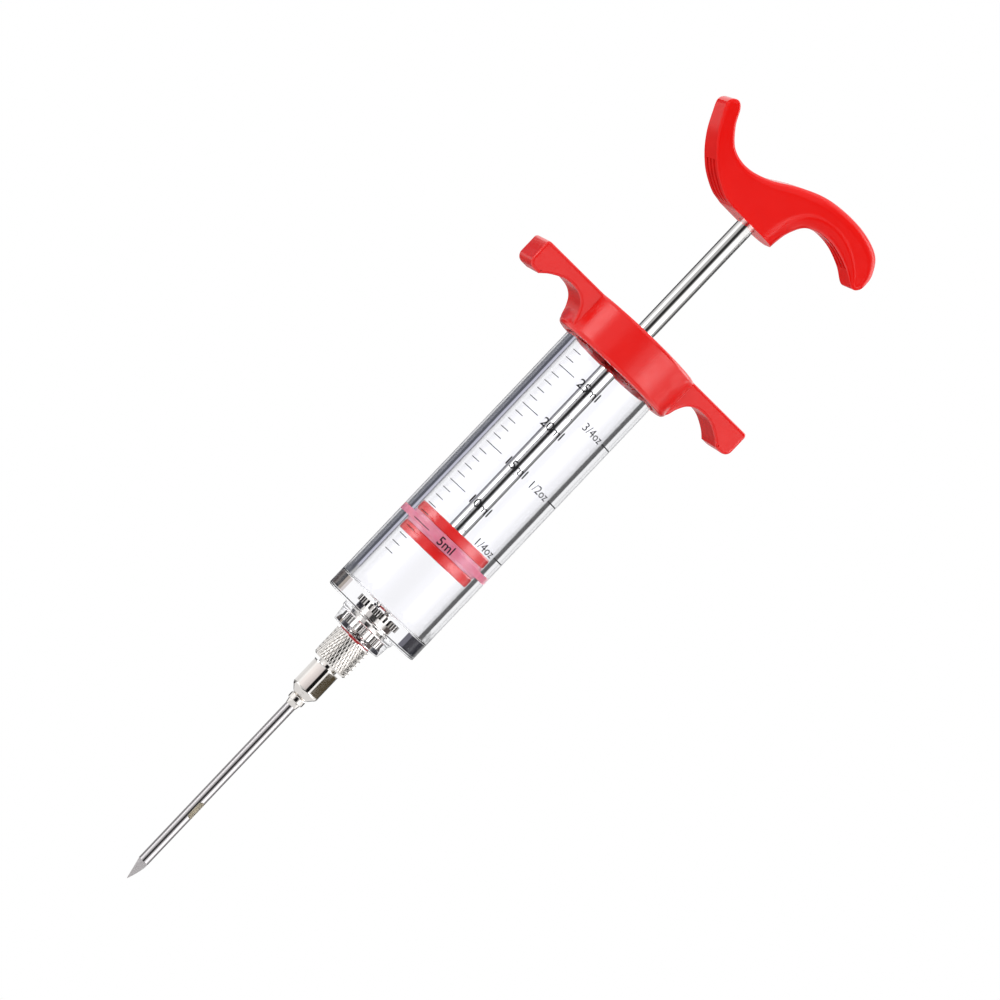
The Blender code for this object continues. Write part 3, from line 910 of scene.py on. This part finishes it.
# The S of the handle from the front, clockwise from the left tip, as (x, height over the hub's
# face, rounding) in millimetres. It runs on below that face, where it is cut off square.
HANDLE_POINTS = [
    (-26.0, 16.9, 1.2),
    (-25.5, 18.6, 1.1),
    (-24.1, 19.3, 1.1),
    (-22.5, 18.2, 1.3),
    (-20.2, 14.2, 1.6),
    (-16.4, 10.4, 1.6),
    (-11.2, 9.4, 1.6),
    (-5.0, 11.2, 1.8),
    (1.6, 15.0, 2.2),
    (8.4, 17.9, 2.6),
    (15.5, 19.0, 2.8),
    (22.5, 18.7, 2.8),
    (28.2, 16.8, 2.7),
    (31.0, 13.0, 2.0),
    (31.4, 9.8, 1.2),
    (30.8, 7.8, 0.85),
    (29.0, 7.0, 0.85),
    (25.0, 9.3, 1.9),
    (19.7, 11.0, 2.9),
    (14.8, 11.1, 3.4),
    (10.6, 9.4, 4.0),
    (8.5, 5.8, 4.6),
    (7.6, 1.5, 4.8),
    (7.4, -3.0, 4.6),
    (7.2, -9.0, 2.6),
    (5.0, -12.0, 1.5),
    (1.0, -12.0, 1.5),
    (-2.0, -8.5, 1.5),
    (-3.2, -4.0, 1.4),
    (-4.9, -0.9, 0.8),
    (-7.4, 0.0, 0.55),
    (-10.3, 0.5, 0.5),
    (-13.5, 1.9, 0.5),
    (-16.5, 3.8, 0.5),
    (-19.8, 6.8, 0.6),
    (-22.6, 10.3, 0.9),
    (-24.7, 14.0, 1.2),
]


def handle_outline():
    """The smooth outline through the handle's points."""
    curve = smooth_curve(HANDLE_POINTS, 8, closed=True)
    return [(x * MM, HUB_BOTTOM + z * MM, rounding * MM) for x, z, rounding in curve]


def handle_cutters():
    """The plane of the hub's face, the pocket of the rod's insert, and slots up into both arms."""
    far = 40 * MM
    under = [(-far, -far), (-far, 0.0), (far, 0.0), (far, -far)]
    under = [(x, HUB_BOTTOM + z) for x, z in under]
    cutters = [block("under", under, far, red)]
    entry = ROD_RADIUS + 0.12 * MM
    pocket = grip_insert_high.x + 0.3 * MM
    shoulder = grip_insert_low.z - 0.1 * MM
    end = rod_high.z + 0.3 * MM
    hollow = [(entry, HUB_BOTTOM - MM), (entry, shoulder), (pocket, shoulder), (pocket, end)]
    cutters.append(turned("pocket", hollow, red, 64, closed=False))
    palm = [(12.6, -1.0), (12.6, 12.6), (19.0, 13.4), (25.0, 11.6), (25.0, -1.0)]
    thumb = [(-18.2, -1.0), (-18.2, 8.4), (-12.0, 5.4), (-8.4, 3.8), (-8.4, -1.0)]
    for number in range(-1, 2):
        for side in (palm, thumb):
            outline = [(x * MM, HUB_BOTTOM + z * MM) for x, z in side]
            centre = number * SLOT_PITCH
            cutters.append(block("slot", outline, SLOT_WIDTH / 2, red, centre_y=centre))
    return cutters


def narrowed(piece):
    """Narrows the handle towards both tips, where it is sliced finely enough to bend smoothly."""
    step = 1.5 * MM
    palm_start, thumb_start, reach = 14.0 * MM, 11.0 * MM, 16.0 * MM
    loss = 0.26
    bm = bmesh.new()
    bm.from_mesh(piece.data)
    bmesh.ops.triangulate(bm, faces=bm.faces)
    for number in range(-17, 21):
        everything = list(bm.verts) + list(bm.edges) + list(bm.faces)
        place = (number * step, 0, 0)
        bmesh.ops.bisect_plane(bm, geom=everything, dist=1e-7, plane_co=place, plane_no=(1, 0, 0))
    for vert in bm.verts:
        past = max(vert.co.x - palm_start, -vert.co.x - thumb_start, 0.0)
        vert.co.y *= 1.0 - loss * (past / reach) ** 2
    bm.to_mesh(piece.data)
    bm.free()
    smoothed(piece.data)
    return piece


def handle():
    """S-shaped handle with rounded edges, cored from below."""
    body = slab("red_handle", handle_outline(), HANDLE_HALF_WIDTH, red_as_lit_on_handle, steps=9)
    return narrowed(cut(body, handle_cutters()))


piece = handle()
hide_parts("handle")
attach(piece, "plunger")

for node, material in (("piston_nut", steel), ("handle_insert", brass)):
    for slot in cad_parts[node].material_slots:
        slot.material = material


# Printed scale


def wrapped(verts, centre_angle, height):
    """Lays flat points, x across and y up, on the barrel round centre_angle."""
    for vert in verts:
        angle = centre_angle + vert.co.x / BARREL_RADIUS
        radius = BARREL_RADIUS + INK_GAP + vert.co.z
        vert.co = Vector((radius * cos(angle), radius * sin(angle), height + vert.co.y))


def tick(bm, left, right, height, thickness):
    """A thin line of ink from left to right, as distances across the picture."""
    first = asin(left / BARREL_RADIUS)
    last = asin(right / BARREL_RADIUS)
    depth = 0.012 * MM
    steps = 10
    rings = []
    for step in range(steps + 1):
        angle = FACING_CAMERA + first + (last - first) * step / steps
        ring = []
        for out, up in ((0, -1), (1, -1), (1, 1), (0, 1)):
            radius = BARREL_RADIUS + INK_GAP + out * depth
            ring.append((radius * cos(angle), radius * sin(angle), height + up * thickness / 2))
        rings.append(ring)
    add_rings(bm, rings, closed=False)


def label(bm, text, right, height, size, boldness):
    """A line of text that ends at right, a distance across the picture."""
    curve = bpy.data.curves.new(text, "FONT")
    curve.body = text
    curve.size = size
    curve.offset = boldness
    curve.align_x = "RIGHT"
    curve.align_y = "CENTER"
    curve.extrude = 0.006 * MM
    curve.resolution_u = 4
    maker = placed(text, curve)
    graph = bpy.context.evaluated_depsgraph_get()
    mesh = bpy.data.meshes.new_from_object(maker.evaluated_get(graph))
    part = bmesh.new()
    part.from_mesh(mesh)
    bmesh.ops.subdivide_edges(part, edges=part.edges, cuts=1)
    wrapped(part.verts, FACING_CAMERA + asin(right / BARREL_RADIUS), height)
    part.to_mesh(mesh)
    part.free()
    bm.from_mesh(mesh)
    bpy.data.objects.remove(maker, do_unlink=True)
    bpy.data.meshes.remove(mesh)


def scale_print():
    """Marks for each ml, numbers for each 5 ml and for each quarter of an ounce."""
    zero = 99.0 * MM
    per_ml = 2.525 * MM
    marks_left, short_right, long_right = -9.75 * MM, -7.5 * MM, -4.9 * MM
    numbers_right, ounces_right = 3.1 * MM, 10.4 * MM
    ounces = (("1/4oz", 117.5 * MM), ("1/2oz", 136.4 * MM), ("3/4oz", 155.3 * MM))
    thin, thick = 0.2 * MM, 0.3 * MM
    bm = bmesh.new()
    for count in range(1, 28):
        right = long_right if count % 5 == 0 else short_right
        tick(bm, marks_left, right, zero + per_ml * count, thin)
    for count in range(5, 30, 5):
        height = zero + per_ml * count
        label(bm, str(count) + "ml", numbers_right, height, 3.3 * MM, 0.03 * MM)
    for text, height in ounces:
        label(bm, text, ounces_right, height + 0.1 * MM, 3.1 * MM, 0.0)
        tick(bm, 11.1 * MM, 13.6 * MM, height, thick)
    mesh = bpy.data.meshes.new("scale_print")
    bm.to_mesh(mesh)
    bm.free()
    mesh.materials.append(black_ink)
    return placed("scale_print", mesh)


piece = scale_print()
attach(piece, "barrel")


# Surroundings


def emitter(name, colour):
    """A material that only glows."""
    material = bpy.data.materials.new(name)
    material.use_nodes = True
    tree = material.node_tree
    tree.nodes.clear()
    glow = tree.nodes.new("ShaderNodeEmission")
    glow.inputs["Color"].default_value = (*colour, 1.0)
    out = tree.nodes.new("ShaderNodeOutputMaterial")
    tree.links.new(glow.outputs["Emission"], out.inputs["Surface"])
    return material


def plain_mesh(name, points, faces, material):
    """An object from points and faces."""
    mesh = bpy.data.meshes.new(name)
    mesh.from_pydata(points, [], faces)
    mesh.materials.append(material)
    return placed(name, mesh)


def card(name, first, last, low, high, colour):
    """A curved card round the axis that only refractions see. Angles are degrees to the picture's
    right of the camera's direction."""
    distance = 60 * MM
    steps = 12
    points = []
    for step in range(steps + 1):
        angle = FACING_CAMERA + radians(first + (last - first) * step / steps)
        for height in (low, high):
            points.append((distance * cos(angle), distance * sin(angle), height))
    faces = [(2 * i, 2 * i + 2, 2 * i + 3, 2 * i + 1) for i in range(steps)]
    made = plain_mesh(name, points, faces, emitter(name, colour))
    made.visible_camera = False
    made.visible_shadow = False
    made.visible_diffuse = False
    made.visible_glossy = False
    made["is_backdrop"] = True


def studio_ring(tree, angle, bands):
    """The colour of bands in a direction. It runs straight from the end of one to the next."""
    brightest = 6.0
    node = tree.nodes.new("ShaderNodeValToRGB")
    ramp = node.color_ramp.elements
    while len(ramp) > 1:
        ramp.remove(ramp[-1])
    for first, last, colour in bands:
        if isinstance(colour, (int, float)):
            colour = (colour, colour, colour)
        for degrees in sorted({first, last}):
            stop = ramp.new((degrees + 180) / 360)
            stop.color = (*(channel / brightest for channel in colour), 1.0)
    ramp.remove(ramp[0])
    share = calculated(tree, "MULTIPLY_ADD", angle, 1 / (2 * pi))
    share.node.inputs[2].default_value = 0.5
    tree.links.new(share, node.inputs["Fac"])
    bright = tree.nodes.new("ShaderNodeVectorMath")
    bright.operation = "SCALE"
    bright.inputs["Scale"].default_value = brightest
    tree.links.new(node.outputs["Color"], bright.inputs[0])
    return bright.outputs["Vector"]


# Bands of light and dark round the object: first and last degree to the right of the camera, and
# brightness or colour.

SLATE = (0.10, 0.105, 0.125)

# What the handle mirrors: a dark room in front, a large soft light on the right.
HANDLE_BANDS = [
    (-175, -75, 0.9),
    (-60, -40, 0.6),
    (-25, 62, 0.008),
    (80, 80, 1.2),
    (94, 112, 5.8),
    (134, 168, 1.2),
]

# What the rod mirrors between the cap and the handle.
ROD_BANDS = [
    (-175, -158, SLATE),
    (-153, -136, (0.03, 0.03, 0.035)),
    (-124, -118, 0.30),
    (-112, -95, 0.80),
    (-88, -82, 1.1),
    (-74, -56, 1.6),
    (-54, -51, 1.3),
    (-47, -25, 0.60),
    (-16, 8, 0.035),
    (18, 18, 0.55),
    (26, 70, 1.5),
    (80, 80, 1.2),
    (88, 103, 0.50),
    (111, 140, 0.11),
    (146, 165, 0.2),
]

# What the cap, the barrel and the rod inside it mirror.
CAP_BANDS = [
    (-175, -175, 1.0),
    (-173, -139, SLATE),
    (-137, -128, (0.55, 0.55, 0.65)),
    (-126, -115, 0.08),
    (-112, -95, 0.80),
    (-85, -85, 1.1),
    (-74, -60, 5.8),
    (-52, -52, 1.3),
    (-47, -25, 0.60),
    (-16, 8, 0.035),
    (18, 18, 0.55),
    (26, 34, 1.5),
    (48, 63, 5.8),
    (80, 80, 1.5),
    (88, 103, 0.50),
    (108, 108, 0.9),
    (114, 141, 0.08),
    (145, 145, 1.0),
]

# What the insert's lower knurl mirrors through the clear plastic.
LOWER_INSERT_BANDS = [
    (-173, -139, SLATE),
    (-133, -116, 0.7),
    (-110, -54, 1.0),
    (-46, -30, 0.8),
    (-16, 14, 0.45),
    (26, 84, 1.0),
    (100, 116, 0.8),
    (124, 141, 0.08),
    (147, 147, 0.6),
]

# What the neck's insert mirrors through the clear plastic.
INSERT_BANDS = [
    (-173, -139, SLATE),
    (-133, -116, 0.45),
    (-110, -82, 0.85),
    (-74, -54, 1.05),
    (-48, -23, (0.75, 0.72, 0.73)),
    (-19, 17, 0.012),
    (20, 66, 1.0),
    (69, 84, 0.8),
    (90, 107, (0.40, 0.37, 0.33)),
    (112, 118, 0.8),
    (124, 141, 0.08),
    (147, 147, 0.6),
]

# What the knurled drum mirrors.
DRUM_BANDS = [
    (-175, -139, (0.05, 0.05, 0.06)),
    (-130, -113, 0.25),
    (-105, -82, 0.9),
    (-74, -54, 1.25),
    (-48, -25, 0.95),
    (-22, 20, 0.008),
    (24, 66, 1.2),
    (69, 84, 0.9),
    (90, 107, (0.12, 0.11, 0.09)),
    (110, 125, 0.9),
    (132, 165, 0.06),
]

# What the hexagon mirrors.
HEXAGON_BANDS = [
    (-175, -128, 0.9),
    (-100, -82, 1.0),
    (-74, -58, 1.2),
    (-50, -40, (1.18, 1.12, 1.11)),
    (-28, -24, (0.80, 0.74, 0.74)),
    (-19, 17, 0.008),
    (21, 58, 1.1),
    (64, 66, (0.04, 0.035, 0.025)),
    (70, 112, (0.092, 0.072, 0.042)),
    (122, 141, 0.08),
    (150, 150, 0.6),
]

# What the bead mirrors.
BEAD_BANDS = [
    (-175, -128, 0.03),
    (-116, -40, 1.2),
    (-27, 24, 0.008),
    (36, 116, 1.3),
    (128, 175, 0.03),
]

# What faces that look down mirror.
LOW_BANDS = [
    (-175, -132, 0.06),
    (-118, -40, 1.2),
    (-27, 52, 0.008),
    (78, 118, 1.3),
    (132, 175, 0.06),
]

# What the needle's tube mirrors.
TUBE_BANDS = [
    (-175, -150, 0.35),
    (-138, -122, 0.5),
    (-110, -94, 0.32),
    (-82, -66, 1.9),
    (-58, -46, 1.5),
    (-38, -26, 0.75),
    (-14, 9, 0.04),
    (24, 30, 1.1),
    (42, 78, 2.6),
    (92, 98, 0.9),
    (114, 140, 0.25),
    (150, 170, 0.5),
]


def mirrored(tree, rise, across, near):
    """What reflections see: lamps above, high in front and below, and between them a ring of
    softboxes for each zone. A zone blends in between two heights in degrees above level."""
    turn = calculated(tree, "ARCTAN2", across, near)
    ring = studio_ring(tree, turn, LOW_BANDS)
    zones = [
        (-11.0, -9.0, TUBE_BANDS),
        (-3.45, -3.42, BEAD_BANDS),
        (-3.30, -3.24, HEXAGON_BANDS),
        (-2.68, -2.65, DRUM_BANDS),
        (-2.09, -2.04, LOWER_INSERT_BANDS),
        (-1.88, -1.84, INSERT_BANDS),
        (-1.40, -1.20, CAP_BANDS),
        (4.20, 4.35, ROD_BANDS),
        (6.50, 6.60, HANDLE_BANDS),
    ]
    for low, high, bands in zones:
        height = between(tree, rise, sin(radians(low)), sin(radians(high)))
        ring = blended(tree, height, ring, studio_ring(tree, turn, bands))
    off = calculated(tree, "ABSOLUTE", turn)
    aside = between(tree, off, radians(20), radians(32), 0.4, 1.0)
    above = between(tree, calculated(tree, "MULTIPLY", rise, aside), 0.84, 0.97)
    upper = blended(tree, above, ring, (2.0, 2.0, 2.0))
    ahead = between(tree, off, radians(34), radians(24))
    lamp = calculated(tree, "MULTIPLY", between(tree, rise, 0.26, 0.33), ahead)
    upper = blended(tree, lamp, upper, (1.3, 1.3, 1.3))
    below = between(tree, rise, -0.41, -0.43)
    return blended(tree, below, upper, (0.9, 0.9, 0.9))


def unmirrored(tree, path, rise, across):
    """What other rays see: white for the camera and through the plastic, brighter for light on
    its way inside, and elsewhere a soft fill, brighter from above and from the left."""
    side = calculated(tree, "MULTIPLY", across, -0.12)
    fill = calculated(tree, "ADD", between(tree, rise, -1.0, 1.0, 0.62, 1.3), side)
    camera_ray, transmission_ray = path["Is Camera Ray"], path["Is Transmission Ray"]
    seen = calculated(tree, "MAXIMUM", camera_ray, transmission_ray)
    both = calculated(tree, "MINIMUM", path["Diffuse Depth"], path["Transmission Depth"])
    inside = calculated(tree, "GREATER_THAN", both, 0.5)
    through = blended(tree, inside, (1, 1, 1), (2.0, 2.0, 2.0))
    return blended(tree, seen, fill, through)


def studio():
    """A white studio, in which reflections see softboxes and dark flags."""
    world = bpy.data.worlds.new("studio")
    bpy.context.scene.world = world
    world.use_nodes = True
    tree = world.node_tree
    direction = tree.nodes.new("ShaderNodeTexCoord").outputs["Generated"]
    path = tree.nodes.new("ShaderNodeLightPath").outputs
    rise = along(tree, direction, (0, 0, 1))
    across = along(tree, direction, TO_THE_RIGHT)
    near = along(tree, direction, TOWARDS_CAMERA)
    reflected = calculated(tree, "GREATER_THAN", path["Glossy Depth"], 0.5)
    soft = unmirrored(tree, path, rise, across)
    colour = blended(tree, reflected, soft, mirrored(tree, rise, across, near))
    tree.links.new(colour, tree.nodes["Background"].inputs["Color"])


def flags():
    """Cards that darken both sides of the barrel's base disc, where it bends the light."""
    low, high = DISC_BOTTOM - 1.6 * MM, FLOOR_TOP - 1.7 * MM
    for name, first, last, colour in (
        ("brown_flag", 95, 138, (0.105, 0.085, 0.078)),
        ("black_flag", 138, 146, (0.015, 0.013, 0.017)),
        ("beige_flag", 146, 151, (0.36, 0.31, 0.27)),
        ("pale_flag", 151, 155, (0.66, 0.61, 0.60)),
        ("slate_flag", -132, -95, (0.025, 0.025, 0.032)),
        ("blue_flag", -156, -132, (0.028, 0.028, 0.037)),
        ("grey_flag", -161, -156, (0.14, 0.137, 0.165)),
    ):
        card(name, first, last, low, high, colour)


def paper_floor():
    """White paper well below the object, which reflections don't see."""
    half = 1.0
    drop = -0.3
    corners = [(-half, -half, drop), (half, -half, drop), (half, half, drop), (-half, half, drop)]
    paper, tree, shader = principled("floor_paper", (0.84, 0.84, 0.84), 0.8)
    tinted(tree, shader, noise(tree, 60.0), (0.83, 0.83, 0.83), (0.85, 0.85, 0.85))
    floor = plain_mesh("floor", corners, [(0, 1, 2, 3)], paper)
    floor.visible_glossy = False
    floor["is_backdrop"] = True


studio()
flags()
paper_floor()


# Camera


def camera():
    """Level with the middle of the barrel and rolled, so that the syringe leans to the right."""
    data = bpy.data.cameras.new("camera")
    data.lens = CAMERA_LENS
    data.sensor_width = 36
    made = placed("camera", data)
    place = TOWARDS_CAMERA * CAMERA_DISTANCE + Vector((0, 0, CAMERA_HEIGHT))
    aim = TO_THE_RIGHT * AIM_ASIDE + Vector((0, 0, AIM_HEIGHT))
    back = (place - aim).normalized()
    right = Vector((0, 0, 1)).cross(back).normalized()
    up = back.cross(right)
    level = Matrix((right, up, back)).transposed()
    rolled = level @ Matrix.Rotation(CAMERA_ROLL, 3, "Z")
    made.matrix_world = Matrix.Translation(place) @ rolled.to_4x4()
    bpy.context.scene.camera = made


camera()
bpy.context.scene.view_settings.view_transform = "Standard"

low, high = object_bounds()
